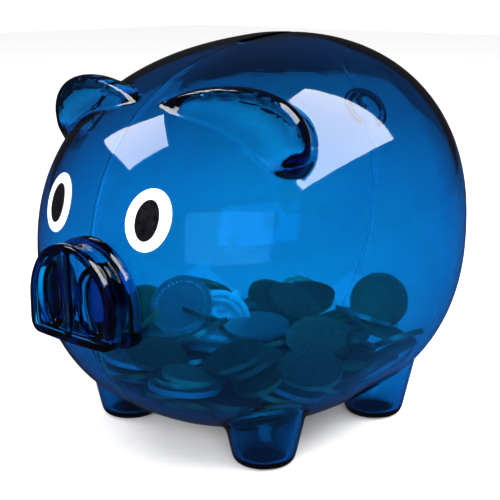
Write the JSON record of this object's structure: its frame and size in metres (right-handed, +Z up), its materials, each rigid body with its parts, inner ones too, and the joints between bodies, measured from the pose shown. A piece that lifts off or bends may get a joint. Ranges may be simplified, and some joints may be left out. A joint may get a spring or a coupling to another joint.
{
  "type": "piggy bank",
  "caption": "Clear blue plastic pig money bank: welded half shells, coin slot in the back, pull-out belly stopper, printed eyes, loose coins inside.",
  "frame": {"origin": "middle of the outer box at floor height, midway between nose and rump on the centre plane", "axes": "+Z up, the nose points to -Y, the pig's left flank is at +X"},
  "size_m": [0.16, 0.1818, 0.1563],
  "materials": {
    "clear_blue_plastic": "clear cobalt-blue polystyrene, injection moulded, polished",
    "stopper_rubber": "soft dark moulded rubber, satin",
    "white_ink": "white pad-printed ink",
    "black_ink": "black pad-printed ink",
    "nickel_coin": "struck nickel-coloured coin metal, worn",
    "copper_coin": "struck copper-coloured coin metal, tarnished",
    "brass_coin": "struck yellow coin metal, worn"
  },
  "bodies": {
    "bank": {"left_shell": "clear_blue_plastic", "right_shell": "clear_blue_plastic", "left_eye_white": "white_ink", "left_eye_pupil": "black_ink", "right_eye_white": "white_ink", "right_eye_pupil": "black_ink", "large_coins": "nickel_coin", "medium_coins": "copper_coin", "small_coins": "brass_coin"},
    "stopper": {"belly_stopper": "stopper_rubber"}
  },
  "joints": [
    {"name": "stopper_pull", "type": "slide", "parent": "bank", "child": "stopper", "axis": [0, 0, -1], "range_m": [0, 0.03]}
  ]
}
